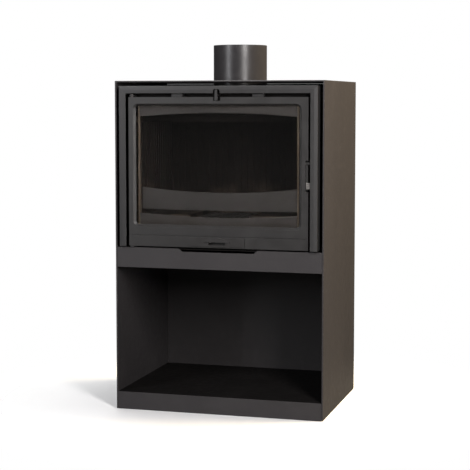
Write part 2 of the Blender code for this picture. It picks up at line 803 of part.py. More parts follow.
# ---- the hinges ----
def build_hinges(dark, steel):
    """Two brackets on the front plate, each holding an upright pin that stands in the door."""
    reach = 0.0078
    bend = 0.006
    upper_foot = DOOR_TOP + 0.0025
    lower_foot = FASCIA_TOP + GAP
    brackets = (("upper", upper_foot, 0.0050), ("lower", lower_foot, 0.0045))
    for label, foot, thick in brackets:
        outline = filleted(
            [
                (HINGE_X - reach, PLATE_FRONT - GAP, 0.0),
                (HINGE_X - reach, HINGE_Y - reach, bend),
                (HINGE_X + reach, HINGE_Y - reach, bend),
                (HINGE_X + reach, PLATE_FRONT - GAP, 0.0),
            ]
        )
        hole = circle(HINGE_X, HINGE_Y, PIN_BORE)
        plate(f"hinge_bracket_{label}", "Z", foot, foot + thick, [outline, hole], dark)
    depth = 0.026  # of a pin in the door
    pins = (
        ("upper", DOOR_TOP - depth, upper_foot + 0.0070),
        ("lower", lower_foot, DOOR_BOTTOM + depth),
    )
    for label, foot, top in pins:
        start = (HINGE_X, HINGE_Y, foot)
        rod(f"hinge_pin_{label}", start, (HINGE_X, HINGE_Y, top), PIN_RADIUS, steel)


# ---- the door ----
def recess_ring(half, bottom, top, radius, depth):
    """A rounded rectangle round the glass, at one depth."""
    outline = rectangle(-half, half, bottom, top, radius)
    return [(across, depth, height) for across, height in outline]


def build_door_casting(iron):
    """The casting: a flat rail bevelled towards the glass, with a groove across its lower rail."""
    outline = rectangle(-DOOR_HALF_WIDTH, DOOR_HALF_WIDTH, DOOR_BOTTOM, DOOR_TOP, 0.002)
    door = plate("door_frame", "Y", DOOR_FRONT, DOOR_BACK, [outline], iron)
    beyond = 0.003
    opening = RECESS_HALF_WIDTH - BEVEL_WIDTH
    inner_bottom = RECESS_BOTTOM + BEVEL_WIDTH
    inner_top = RECESS_TOP - TOP_BEVEL_WIDTH
    flare = BEVEL_WIDTH / BEVEL_DEPTH * beyond
    top_flare = TOP_BEVEL_WIDTH / BEVEL_DEPTH * beyond
    bevel_foot = DOOR_FRONT + BEVEL_DEPTH
    rings = [
        recess_ring(
            RECESS_HALF_WIDTH + flare, RECESS_BOTTOM - flare, RECESS_TOP + top_flare,
            OPENING_BEND + BEVEL_WIDTH + flare, DOOR_FRONT - beyond,
        ),
        recess_ring(opening, inner_bottom, inner_top, OPENING_BEND, bevel_foot),
        recess_ring(opening, inner_bottom, inner_top, OPENING_BEND, DOOR_BACK + beyond),
    ]
    mouth = loft("door_mouth", rings, None, CUTTERS)
    rebate_outline = rectangle(
        -REBATE_HALF, REBATE_HALF, REBATE_BOTTOM, REBATE_TOP, REBATE_BEND
    )
    rebate_depths = (LIP_BACK, DOOR_BACK + beyond)
    rebate = plate("glass_rebate", "Y", *rebate_depths, [rebate_outline], None, CUTTERS)
    beside_glass(mouth, rebate)
    groove = box(
        "rail_groove",
        (-DOOR_HALF_WIDTH - beyond, DOOR_FRONT - beyond, GROOVE_BOTTOM),
        (DOOR_HALF_WIDTH + beyond, DOOR_FRONT + GROOVE_DEPTH, GROOVE_TOP),
        None, CUTTERS,
    )
    knob_notch = box(
        "door_notch",
        (-KNOB_NOTCH, DOOR_FRONT - beyond, NOTCH_FOOT),
        (KNOB_NOTCH, DOOR_BACK + beyond, DOOR_TOP + beyond),
        None, CUTTERS,
    )
    pocket = box(
        "grip_pocket",
        (-GRIP_SLOT_HALF - 0.002, DOOR_FRONT - beyond, GRIP_SLOT_BOTTOM - 0.0015),
        (GRIP_SLOT_HALF + 0.002, DOOR_FRONT + DOOR_THICK / 2, GRIP_SLOT_TOP + 0.0028),
        None, CUTTERS,
    )
    latch_recess = box(
        "latch_recess",
        (LATCH_LEFT - 0.002, DOOR_FRONT - beyond, LATCH_FOOT - 0.009),
        (DOOR_HALF_WIDTH + beyond, DOOR_FRONT + 0.015, LATCH_Z + 0.010),
        None, CUTTERS,
    )
    pivot_start = (LATCH_LEFT - 0.0105, LATCH_Y, LATCH_Z)
    pivot_end = (LATCH_LEFT, LATCH_Y, LATCH_Z)
    pivot_bore = rod("pivot_bore", pivot_start, pivot_end, LATCH_BORE, None, CUTTERS, sides=12)
    depth = 0.028  # of a hinge bore, a little more than its pin's
    heights = (
        ("upper_bore", DOOR_TOP - depth, DOOR_TOP + beyond),
        ("lower_bore", DOOR_BOTTOM - beyond, DOOR_BOTTOM + depth),
    )
    upper, lower = [
        rod(label, (HINGE_X, HINGE_Y, foot), (HINGE_X, HINGE_Y, top), PIN_BORE, None, CUTTERS, 24)
        for label, foot, top in heights
    ]
    cut(door, mouth, rebate, groove, knob_notch, pocket, latch_recess, pivot_bore, upper, lower)
    for label, across, height in SCREW_PLACES:
        start = (across, DOOR_BACK - 0.0095, height)
        end = (across, DOOR_BACK + beyond, height)
        bore = rod(f"screw_bore_{label}", start, end, SCREW_BORE, None, CUTTERS, sides=12)
        beside_glass(bore)
        cut(door, bore)
    return door


def build_glazing(glass, cloth, steel):
    """The glass with its gasket in front, and an angle strip down each side that holds it."""
    inset = 0.001
    bounds = (-REBATE_HALF + inset, REBATE_HALF - inset, REBATE_BOTTOM + inset, REBATE_TOP - inset)
    edge = rectangle(*bounds, REBATE_BEND)
    pane = plate("door_glass", "Y", GLASS_FRONT, GLASS_BACK, [edge], glass)
    shown = 0.001  # of the gasket, back from the edge of the door's opening
    opening = rectangle(
        -RECESS_HALF_WIDTH + BEVEL_WIDTH - shown, RECESS_HALF_WIDTH - BEVEL_WIDTH + shown,
        RECESS_BOTTOM + BEVEL_WIDTH - shown, RECESS_TOP - TOP_BEVEL_WIDTH + shown, OPENING_BEND,
    )
    gasket = plate("glass_gasket", "Y", LIP_BACK + GAP, GASKET_BACK, [edge, opening], cloth)
    pieces = [pane, gasket]
    sheet = RETAINER_SHEET
    toe = GLASS_BACK + GAP
    heel = DOOR_BACK + GAP
    toe_left = 0.2745
    web_right = 0.2798
    heel_right = 0.2865
    for label, side in SIDES:
        angle = [
            (toe_left, toe),
            (web_right, toe),
            (web_right, heel),
            (heel_right, heel),
            (heel_right, heel + sheet),
            (web_right - sheet, heel + sheet),
            (web_right - sheet, toe + sheet),
            (toe_left, toe + sheet),
        ]
        outline = [(side * across, along) for across, along in angle]
        heights = (RETAINER_BOTTOM, RETAINER_TOP)
        strip = plate(f"glass_retainer_{label}", "Z", *heights, [outline], steel)
        pieces.append(strip)
        for name, screw_x, height in SCREW_PLACES:
            if name.startswith(label):
                start = (screw_x, DOOR_BACK - 0.005, height)
                end = (screw_x, DOOR_BACK + 0.006, height)
                hole_name = f"retainer_hole_{name}"
                hole = rod(hole_name, start, end, RETAINER_HOLE, None, CUTTERS, sides=12)
                beside_glass(hole)
                cut(strip, hole)
    head = 0.0018
    head_radius = 0.0034
    shank_end = -0.010
    seat = heel + sheet + GAP
    profile = [(0.0, head), (head_radius * 0.7, head), (head_radius, head * 0.4)]
    profile += [(head_radius, 0.0), (SCREW_SHANK, 0.0), (SCREW_SHANK, shank_end), (0.0, shank_end)]
    for name, screw_x, height in SCREW_PLACES:
        screw = turned(f"glass_screw_{name}", profile, (screw_x, seat, height), steel, sides=14)
        screw.rotation_euler = (-pi / 2, 0.0, 0.0)
        pieces.append(screw)
    beside_glass(*pieces)
    return pieces


def build_rope(cloth):
    """The round rope seal behind the door's edge."""
    outline = rectangle(-ROPE_HALF, ROPE_HALF, ROPE_BOTTOM, ROPE_TOP, ROPE_BEND)
    curve = bpy.data.curves.new("door_rope", "CURVE")
    curve.dimensions = "3D"
    curve.bevel_depth = ROPE_RADIUS
    curve.bevel_resolution = 2
    spline = curve.splines.new("POLY")
    spline.points.add(len(outline) - 1)
    for point, (across, height) in zip(spline.points, outline):
        point.co = (across, 0.0, height, 1.0)
    spline.use_cyclic_u = True
    rope = bpy.data.objects.new("door_rope", curve)
    rope.location = (GLASS_MIDDLE, ROPE_Y, 0.0)
    curve.materials.append(cloth)
    bpy.data.collections[PARTS].objects.link(rope)
    return rope


def build_grip(iron):
    """A pull plate on the lower rail, with a slot under a hood."""
    back = DOOR_FRONT - GAP
    slot = rectangle(-GRIP_SLOT_HALF, GRIP_SLOT_HALF, GRIP_SLOT_BOTTOM, GRIP_SLOT_TOP, 0.002)
    outer = rectangle(-GRIP_HALF, GRIP_HALF, GRIP_BOTTOM, GRIP_TOP, 0.004)
    grip = plate("door_grip", "Y", back - 0.003, back, [outer, slot], iron)
    hood_foot = GRIP_SLOT_TOP + 0.0028
    crown = dipped(-HOOD_HALF, HOOD_HALF, hood_foot, -HOOD_RISE)
    hood = plate("grip_hood", "Y", back - 0.0080, back - 0.0010, [crown], None, CUTTERS)
    fuse(grip, hood)
    return grip


def build_latch(bright):
    """A lever on a cross pin: its foot is pulled out, and its arm reaches under the keeper."""
    swing = bpy.data.objects.new("latch_axis", None)
    swing.location = (LATCH_LEFT, LATCH_Y, LATCH_Z)
    bpy.data.collections[PARTS].objects.link(swing)
    stem_front = DOOR_FRONT + 0.0005
    stem_back = DOOR_FRONT + 0.0075
    lever = box(
        "latch_lever",
        (LATCH_LEFT, stem_front, LATCH_FOOT),
        (LATCH_RIGHT, stem_back, LATCH_Z + 0.002),
        bright,
    )
    boss_start = (LATCH_LEFT + 0.0002, LATCH_Y, LATCH_Z)
    boss_end = (ARM_RIGHT + 0.0002, LATCH_Y, LATCH_Z)
    boss = rod("latch_boss", boss_start, boss_end, 0.0052, None, CUTTERS)
    arm = box(
        "latch_arm",
        (ARM_RIGHT - 0.0036, LATCH_Y, LATCH_Z - 0.0036),
        (ARM_RIGHT, PLATE_FRONT - 0.004, LATCH_Z + ARM_TOP),
        None, CUTTERS,
    )
    tab = box(
        "latch_tab",
        (LATCH_LEFT + 0.0003, stem_front - 0.0012, LATCH_FOOT + 0.0005),
        (ARM_RIGHT + 0.0015, stem_back - 0.0008, LATCH_FOOT + 0.0210),
        None, CUTTERS,
    )
    fuse(lever, boss, arm, tab)
    pin_start = (LATCH_LEFT - 0.0097, LATCH_Y, LATCH_Z)
    pin_end = (ARM_RIGHT + 0.0012, LATCH_Y, LATCH_Z)
    pin = rod("latch_pivot_pin", pin_start, pin_end, LATCH_PIN_RADIUS, bright, sides=12)
    start = (LATCH_LEFT - 0.010, LATCH_Y, LATCH_Z)
    end = (ARM_RIGHT + 0.007, LATCH_Y, LATCH_Z)
    cut(lever, rod("lever_bore", start, end, LATCH_BORE, None, CUTTERS, sides=12))
    carry(swing, lever)
    return swing, pin


def build_keeper(dark, bright):
    """The bracket beside the latch, and the pin in it that the lever's arm reaches under."""
    keeper = box(
        "latch_keeper",
        (KEEPER_LEFT, PLATE_FRONT - 0.0150, LATCH_Z - 0.006),
        (KEEPER_RIGHT, PLATE_FRONT - GAP, LATCH_Z + 0.026),
        dark,
    )
    pin_y = PLATE_FRONT - 0.0085
    pin_z = LATCH_Z + ARM_TOP + 0.0010 + KEEPER_PIN_RADIUS
    pin_left = (ARM_RIGHT - 0.0038, pin_y, pin_z)
    pin_right = (KEEPER_RIGHT, pin_y, pin_z)
    rod("keeper_pin", pin_left, pin_right, KEEPER_PIN_RADIUS, bright)
    hole_start = (KEEPER_LEFT - 0.002, pin_y, pin_z)
    hole_end = (KEEPER_RIGHT + 0.002, pin_y, pin_z)
    hole_radius = KEEPER_PIN_RADIUS + GAP
    cut(keeper, rod("keeper_hole", hole_start, hole_end, hole_radius, None, CUTTERS))


def build_door(iron, glass, cloth, steel, bright, dark):
    """Everything that swings with the door."""
    hinge = bpy.data.objects.new("door_axis", None)
    hinge.location = (HINGE_X, HINGE_Y, DOOR_BOTTOM)
    bpy.data.collections[PARTS].objects.link(hinge)
    casting = build_door_casting(iron)
    round_edges(casting, FINE_EDGE)
    pieces = [casting, build_rope(cloth), build_grip(iron)]
    pieces += build_glazing(glass, cloth, steel)
    swing, pin = build_latch(bright)
    carry(hinge, *pieces, pin, swing)
    build_keeper(dark, bright)


def main():
    for thing in list(bpy.data.objects):
        bpy.data.objects.remove(thing)
    for name in (PARTS, CUTTERS):
        group = bpy.data.collections.new(name)
        bpy.context.scene.collection.children.link(group)
    paint = finish("anthracite_paint", (0.075, 0.070, 0.064), 0.55)
    inner_paint = finish("inner_paint", (0.035, 0.033, 0.031), 0.60)
    dark = finish("black_enamel_paint", (0.045, 0.043, 0.043), 0.50)
    iron = finish("cast_iron", (0.055, 0.052, 0.051), 0.55, 0.2)
    steel = finish("dark_steel", (0.09, 0.085, 0.08), 0.45, 0.8)
    bright = finish("zinc_steel", (0.55, 0.53, 0.50), 0.35, 1.0)
    brick = finish("vermiculite", (0.16, 0.14, 0.12), 0.90)
    cloth = finish("glass_fibre", (0.10, 0.10, 0.10), 0.95)
    glass = finish("ceramic_glass", (0.80, 0.80, 0.80), 0.05)
    build_cabinet(paint, inner_paint, steel)
    build_flue(paint, iron)
    build_firebox(steel, brick, iron, dark)
    build_fire_mouth(iron, bright)
    build_surround(dark)
    build_air_control(dark, steel)
    build_hinges(dark, steel)
    build_door(iron, glass, cloth, steel, bright, dark)


main()
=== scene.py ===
# %% [markdown]
# # A wood burning stove
# The stove is a steel cabinet with a glazed cast door over the fire and an open store for logs
# under it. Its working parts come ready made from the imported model: their sizes, their places and
# their joints are settled there. This lesson gives each of them its finish, and makes again, in
# finer mesh work, the few pieces whose surface needs more than a working model has.

# %% Load the frame
from math import cos, hypot, pi, radians, sin, tau

import bmesh
import bpy
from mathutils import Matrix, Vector


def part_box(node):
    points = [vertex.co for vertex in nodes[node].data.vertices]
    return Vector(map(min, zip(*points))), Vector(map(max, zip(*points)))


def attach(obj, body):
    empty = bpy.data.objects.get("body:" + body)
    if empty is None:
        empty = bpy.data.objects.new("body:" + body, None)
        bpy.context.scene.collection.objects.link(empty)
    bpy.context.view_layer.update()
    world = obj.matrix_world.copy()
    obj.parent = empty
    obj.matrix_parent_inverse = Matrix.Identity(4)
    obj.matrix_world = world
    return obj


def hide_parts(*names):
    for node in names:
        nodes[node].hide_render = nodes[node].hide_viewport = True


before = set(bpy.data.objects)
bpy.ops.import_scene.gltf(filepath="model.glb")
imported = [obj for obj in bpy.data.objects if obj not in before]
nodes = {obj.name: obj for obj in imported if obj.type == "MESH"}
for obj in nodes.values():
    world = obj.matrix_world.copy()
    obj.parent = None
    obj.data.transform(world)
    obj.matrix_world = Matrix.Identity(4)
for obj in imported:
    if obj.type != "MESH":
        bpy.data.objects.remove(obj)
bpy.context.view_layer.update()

# %% [markdown]
# ## The camera
# A long lens from a few metres away keeps upright lines upright, as in a catalogue. The camera
# stands to the right of the door and looks slightly down. A small downward shift of the lens brings
# the stove nearer the middle of the picture, without tilting the camera further.

# %% Place the camera
CAMERA_PLACE = (1.250, -4.436, 1.022)
CAMERA_PITCH = 4.49
CAMERA_TURN = 15.89
FOCAL_LENGTH = 104.2
PICTURE_SHIFT = -0.0596
lens = bpy.data.cameras.new("camera")
lens.sensor_width = 36.0
lens.lens = FOCAL_LENGTH
lens.shift_y = PICTURE_SHIFT
camera = bpy.data.objects.new("camera", lens)
camera.location = CAMERA_PLACE
camera.rotation_euler = (radians(90 - CAMERA_PITCH), 0.0, radians(CAMERA_TURN))
bpy.context.scene.collection.objects.link(camera)
bpy.context.scene.camera = camera
bpy.context.scene.view_settings.view_transform = "Standard"
print("camera", camera.location[:], "lens", lens.lens)

# %% [markdown]
# ## Studio light
# Dark paint shows its form by what it mirrors, so the light comes from large soft boxes. Two stand
# left and right of the camera and draw the two upright gleams on the flue. A warm one hangs high
# beside the right side sheet, so that the sheet darkens towards the floor. It is left out of all
# gloss, because a gleam of it would turn the top plate golden. A low strip behind a honeycomb grid
# lights little but the door, and is mirrored in the left bevel round its glass. A broad one hangs
# overhead, a little behind, for the top plate. The air around is pale, but it lights the stove only
# dimly, so that the gaps stay deep.

# %% Place the lights
STOVE_MIDDLE = (0.0, 0.0, 0.80)
DOOR_LEFT_BEVEL = (-0.30, -0.25, 0.80)


def softbox(name, azimuth, height, distance, size, power, color, aim=STOVE_MIDDLE, spread=180):
    """A rectangular light that faces a point; a narrow spread is a honeycomb grid before it."""
    data = bpy.data.lights.new(name, "AREA")
    data.shape = "RECTANGLE"
    data.size = size[0]
    data.size_y = size[1]
    data.energy = power
    data.color = color
    data.spread = radians(spread)
    lamp = bpy.data.objects.new(name, data)
    angle = radians(azimuth)
    lamp.location = (distance * sin(angle), -distance * cos(angle), height)
    facing = Vector(aim) - lamp.location
    lamp.rotation_euler = facing.to_track_quat("-Z", "Y").to_euler()
    bpy.context.scene.collection.objects.link(lamp)
    return lamp


softbox("left_box", -36, 1.80, 3.2, (0.60, 2.0), 50, (0.97, 0.97, 1.0))
softbox("right_box", 35, 1.75, 2.7, (0.45, 1.7), 80, (1.0, 0.97, 0.96))
side_box = softbox("side_box", 112, 2.40, 2.1, (1.6, 1.2), 195, (1.0, 0.80, 0.50))
side_box.visible_glossy = False
softbox("low_strip", 58, 0.68, 3.0, (0.25, 0.9), 0.20, (1.0, 0.96, 0.92), DOOR_LEFT_BEVEL, 14)
softbox("top_box", 180, 3.4, 0.6, (2.6, 1.8), 105, (1.0, 1.0, 1.0), (0.0, 0.0, 0.0))


def pale_air(seen, lighting):
    """A white surround, as bright as `seen` to the camera and as `lighting` to the stove."""
    world = bpy.data.worlds.new("studio")
    bpy.context.scene.world = world
    world.use_nodes = True
    tree = world.node_tree
    glow = tree.nodes["Background"]
    glow.inputs["Color"].default_value = (1.0, 1.0, 1.0, 1.0)
    path = tree.nodes.new("ShaderNodeLightPath")
    choose = tree.nodes.new("ShaderNodeMapRange")
    choose.inputs["To Min"].default_value = lighting
    choose.inputs["To Max"].default_value = seen
    tree.links.new(path.outputs["Is Camera Ray"], choose.inputs["Value"])
    tree.links.new(choose.outputs["Result"], glow.inputs["Strength"])


pale_air(seen=1.0, lighting=0.065)

# %% [markdown]
# ## Tools for finishes
# Each finish is a small tree of nodes. It reads the place on the piece in metres, so grain and wear
# have their true size on every piece, whatever its mesh. These helpers keep the trees short: a
# noise, a change of range, a blend of two colours, a bump, and a mask for worn edges.

# %% Finish helpers
class Finish:
    """A material under construction, with short names for the nodes that finishes share."""

    def __init__(self, name, **constants):
        self.material = bpy.data.materials.new(name)
        self.material.use_nodes = True
        self.tree = self.material.node_tree
        self.shader = self.tree.nodes["Principled BSDF"]
        for socket, value in constants.items():
            self.shader.inputs[socket.replace("_", " ")].default_value = value
        self.place = self.add("ShaderNodeTexCoord").outputs["Object"]

    def add(self, kind, **settings):
        made = self.tree.nodes.new(kind)
        for name, value in settings.items():
            setattr(made, name, value)
        return made

    def join(self, source, target):
        """Links a socket, or sets a plain value, on an input."""
        if isinstance(source, bpy.types.NodeSocket):
            self.tree.links.new(source, target)
        else:
            target.default_value = source

    def stretched(self, x, y, z):
        """The place, scaled along each axis, for grain that runs one way."""
        scaled = self.add("ShaderNodeVectorMath", operation="MULTIPLY")
        self.join(self.place, scaled.inputs[0])
        scaled.inputs[1].default_value = (x, y, z)
        return scaled.outputs[0]

    def noise(self, scale, detail=3.0, vector=None):
        made = self.add("ShaderNodeTexNoise")
        made.inputs["Scale"].default_value = scale
        made.inputs["Detail"].default_value = detail
        made.inputs["Roughness"].default_value = 0.55
        self.join(vector or self.place, made.inputs["Vector"])
        return made.outputs["Fac"]

    def cells(self, scale):
        """The distance from the middle of the nearest of many small cells."""
        made = self.add("ShaderNodeTexVoronoi", feature="F1")
        made.inputs["Scale"].default_value = scale
        self.join(self.place, made.inputs["Vector"])
        return made.outputs["Distance"]

    def span(self, value, low, high, to_low=0.0, to_high=1.0):
        """Carries a value from one range to another, held at both ends."""
        made = self.add("ShaderNodeMapRange", interpolation_type="SMOOTHSTEP")
        self.join(value, made.inputs["Value"])
        made.inputs["From Min"].default_value = low
        made.inputs["From Max"].default_value = high
        made.inputs["To Min"].default_value = to_low
        made.inputs["To Max"].default_value = to_high
        return made.outputs["Result"]

    def math(self, first, second, operation="ADD"):
        """Adds two values, or works out another operation on them."""
        made = self.add("ShaderNodeMath", operation=operation)
        self.join(first, made.inputs[0])
        self.join(second, made.inputs[1])
        return made.outputs[0]

    def blend(self, share, first, second):
        """One colour where the share is 0, and another where it is 1."""
        made = self.add("ShaderNodeMix", data_type="RGBA")
        self.join(share, made.inputs["Factor"])
        colors = [socket for socket in made.inputs if socket.type == "RGBA"]
        for socket, color in zip(colors, (first, second)):
            self.join(color if isinstance(color, bpy.types.NodeSocket) else (*color, 1.0), socket)
        return [socket for socket in made.outputs if socket.type == "RGBA"][0]

    def height(self):
        """How high a place is above the floor."""
        split = self.add("ShaderNodeSeparateXYZ")
        self.join(self.place, split.inputs[0])
        return split.outputs["Z"]

    def edges(self, radius):
        """A mask that is 1 on sharp edges, where a rounded normal leaves the true one."""
        blunt = 0.015
        sharp = 0.20
        rounded = self.add("ShaderNodeBevel", samples=4)
        rounded.inputs["Radius"].default_value = radius
        true = self.add("ShaderNodeNewGeometry")
        dot = self.add("ShaderNodeVectorMath", operation="DOT_PRODUCT")
        self.join(rounded.outputs[0], dot.inputs[0])
        self.join(true.outputs["Normal"], dot.inputs[1])
        return self.span(self.math(1.0, dot.outputs["Value"], "SUBTRACT"), blunt, sharp)

    def bump(self, height, distance, strength=1.0, under=None):
        made = self.add("ShaderNodeBump")
        made.inputs["Strength"].default_value = strength
        made.inputs["Distance"].default_value = distance
        self.join(height, made.inputs["Height"])
        if under:
            self.join(under, made.inputs["Normal"])
        return made.outputs["Normal"]

    def done(self, color=None, roughness=None, normal=None, metallic=None):
        sockets = {"Base Color": color, "Roughness": roughness, "Normal": normal,
                   "Metallic": metallic}
        for socket, source in sockets.items():
            if source is not None:
                self.join(source, self.shader.inputs[socket])
        return self.material


def tone(color, factor):
    """A colour made lighter or darker by a factor."""
    return tuple(min(1.0, channel * factor) for channel in color)


# %% [markdown]
# ## Stove paint
# Stove paint is sprayed on and baked. It is matt, with a fine sandy skin, and on large sheets the
# coats lie slightly unevenly, which shows as broad soft clouds that run down the sheet. Handling
# rubs the edges a little lighter, and dust settles low down. One function makes four paints, which
# differ in colour and gloss, and in how strong their skin, clouds, wear and dust are. The inner
# paint is dark paint made far darker still, as painted shade for the inside of the log store and
# the sheets behind the gaps round the door.

# %% Stove paint
def stove_paint(name, color, roughness, skin=0.00005, clouds=0.09, wear=0.28, dust=0.0, gloss=0.42):
    finish = Finish(name, Specular_IOR_Level=gloss)
    broad = finish.noise(2.2, 4.0, finish.stretched(1.0, 1.0, 0.35))
    mottle = finish.noise(48.0, 3.0)
    grain = finish.noise(1500.0, 2.0)
    coat = finish.blend(finish.span(broad, 0.30, 0.72), tone(color, 1 - clouds),
                        tone(color, 1 + clouds))
    coat = finish.blend(finish.span(mottle, 0.42, 0.74, 0.0, 0.14), coat, tone(color, 1.7))
    coat = finish.blend(finish.span(grain, 0.55, 0.80, 0.0, 0.30), coat, tone(color, 1.9))
    if dust:
        low_down = finish.span(finish.height(), 0.0, 0.45, dust, 0.0)
        patchy = finish.span(finish.noise(14.0, 5.0), 0.38, 0.70)
        settled = finish.math(low_down, patchy, "MULTIPLY")
        coat = finish.blend(settled, coat, (0.33, 0.31, 0.28))
    rubbed = finish.math(finish.edges(0.0016), finish.span(finish.noise(30.0, 4.0), 0.40, 0.66),
                        "MULTIPLY")
    rubbed = finish.math(rubbed, wear, "MULTIPLY")
    coat = finish.blend(rubbed, coat, tone(color, 3.2))
    rough = finish.span(finish.math(broad, mottle), 0.75, 1.25, roughness - 0.05, roughness + 0.06)
    rough = finish.math(rough, finish.math(rubbed, 0.12, "MULTIPLY"), "SUBTRACT")
    ripple = finish.bump(finish.noise(210.0, 2.0), skin * 1.6, 0.5)
    sandy = finish.bump(grain, skin, 0.8, ripple)
    return finish.done(coat, rough, sandy)


anthracite = stove_paint("anthracite_paint", (0.036, 0.033, 0.034), 0.50, dust=0.012)
# Inner paint: dark paint plus painted shade, its colour set far below the outer paint to stand in
# for the shade inside the log store and behind the gaps round the door.
inner_black_and_shade = stove_paint("inner_paint", (0.0070, 0.0062, 0.0060), 0.66, dust=0.006, wear=0.15,
                          gloss=0.10)
satin_black = stove_paint("satin_black_paint", (0.028, 0.027, 0.027), 0.46, skin=0.00004)
flue_paint = stove_paint("flue_paint", (0.027, 0.0255, 0.0265), 0.35, skin=0.00003, clouds=0.05)
print("paints:", anthracite.name, inner_black_and_shade.name, satin_black.name, flue_paint.name)

# %% [markdown]
# ## Cast iron
# The door and the pieces in the fire's mouth are cast in sand. The sand leaves a pebbled skin in
# two sizes, grains of a millimetre or two and slow waves where the mould was rammed, with small
# dark pits between. Over it lies dark grey paint, thin on the ridges. Fire side pieces carry soot
# as well, so the same function takes an amount of soot, which lies on them in soft patches.

# %% Cast iron
def cast_iron(name, color, roughness, soot=0.0):
    finish = Finish(name, Specular_IOR_Level=0.45)
    wave = finish.noise(26.0, 3.0)
    sand = finish.noise(620.0, 3.0)
    pits = finish.cells(340.0)
    coat = finish.blend(finish.span(wave, 0.34, 0.70), tone(color, 0.93), tone(color, 1.08))
    coat = finish.blend(finish.span(sand, 0.52, 0.76, 0.0, 0.42), coat, tone(color, 1.75))
    coat = finish.blend(finish.span(pits, 0.0, 0.24, 0.32, 0.0), coat, tone(color, 0.45))
    rubbed = finish.math(finish.edges(0.0014), finish.span(finish.noise(60.0, 4.0), 0.36, 0.64),
                        "MULTIPLY")
    coat = finish.blend(finish.math(rubbed, 0.6, "MULTIPLY"), coat, tone(color, 3.0))
    rough = finish.span(finish.math(wave, sand), 0.80, 1.25, roughness - 0.07, roughness + 0.07)
    if soot:
        drift = finish.span(finish.noise(11.0, 5.0), 0.30, 0.70)
        black = finish.math(drift, soot, "MULTIPLY")
        coat = finish.blend(black, coat, (0.012, 0.011, 0.011))
        rough = finish.math(rough, finish.math(black, 0.25, "MULTIPLY"))
    slow = finish.bump(wave, 0.0002, 0.25)
    pebbled = finish.bump(sand, 0.00012, 0.9, slow)
    pitted = finish.bump(pits, 0.00005, 0.5, pebbled)
    return finish.done(coat, rough, pitted)


door_iron = cast_iron("door_cast_iron", (0.025, 0.0238, 0.0232), 0.47)
grip_iron = cast_iron("grip_cast_iron", (0.027, 0.0255, 0.0250), 0.42)
hearth_iron = cast_iron("hearth_cast_iron", (0.020, 0.0175, 0.0168), 0.52, soot=0.30)
guard_iron = cast_iron("guard_cast_iron", (0.0135, 0.0122, 0.0116), 0.56, soot=0.35)
grate_iron = cast_iron("grate_cast_iron", (0.020, 0.018, 0.017), 0.66, soot=0.60)
print("castings:", door_iron.name, grip_iron.name, hearth_iron.name, guard_iron.name,
      grate_iron.name)

# %% [markdown]
# ## Bare steel
# Sheet steel near the fire keeps its dark rolling skin, with fine rolling lines, and is stained
# brown where it ran hot. Small steel parts take the same finish. The pins of the latch, the screws
# of the back sheet and the two jambs are zinc plated, with crystals in the plating, small scratches
# and a warm tint. The heat has dulled the jambs.

# %% Bare steel
def sheet_steel(name, color, roughness, heat=0.35):
    finish = Finish(name, Specular_IOR_Level=0.35)
    rolled = finish.noise(9.0, 3.0, finish.stretched(4.0, 260.0, 4.0))
    stain = finish.span(finish.noise(6.0, 5.0), 0.42, 0.72, 0.0, heat)
    coat = finish.blend(finish.span(rolled, 0.30, 0.70), tone(color, 0.78), tone(color, 1.25))
    coat = finish.blend(stain, coat, (0.085, 0.052, 0.035))
    bare = finish.span(finish.edges(0.0010), 0.2, 1.0, 0.0, 0.5)
    coat = finish.blend(bare, coat, tone(color, 2.4))
    rough = finish.span(rolled, 0.30, 0.70, roughness - 0.08, roughness + 0.10)
    normal = finish.bump(rolled, 0.00004, 0.6)
    metal = finish.span(stain, 0.0, heat, 0.85, 0.55)
    return finish.done(coat, rough, normal, metal)


def zinc_plate(name, color, roughness):
    finish = Finish(name, Specular_IOR_Level=0.5)
    crystal = finish.cells(160.0)
    scratch = finish.noise(70.0, 2.0, finish.stretched(1.0, 1.0, 14.0))
    warm = finish.span(finish.noise(22.0, 4.0), 0.40, 0.72, 0.0, 0.55)
    coat = finish.blend(finish.span(crystal, 0.0, 0.8), tone(color, 0.84), tone(color, 1.12))
    coat = finish.blend(warm, coat, tone((1.10, 0.83, 0.60), color[0]))
    coat = finish.blend(finish.span(scratch, 0.60, 0.74, 0.0, 0.45), coat, tone(color, 1.45))
    rough = finish.span(crystal, 0.0, 0.9, roughness - 0.06, roughness + 0.08)
    return finish.done(coat, rough, finish.bump(scratch, 0.00004, 0.6), 0.9)


blue_steel = sheet_steel("blued_steel", (0.080, 0.073, 0.070), 0.42)
fire_steel = sheet_steel("fired_steel", (0.022, 0.0195, 0.018), 0.66, heat=0.45)
zinc = zinc_plate("zinc_plate", (0.40, 0.38, 0.36), 0.36)
jamb_zinc = zinc_plate("jamb_zinc_plate", (0.155, 0.128, 0.102), 0.52)
print("steels:", blue_steel.name, fire_steel.name, zinc.name, jamb_zinc.name)

# %% [markdown]
# ## Worn paint
# The latch lever is painted satin black. Fingers pull it by the tab at its foot, which is worn down
# to bright scratched steel. The paint ends there in a ragged line, so a noise is added to the
# height before the two are divided. A little steel shows along the lever's edges too.

# %% Worn paint
LEVER_TAB_TOP = 0.762


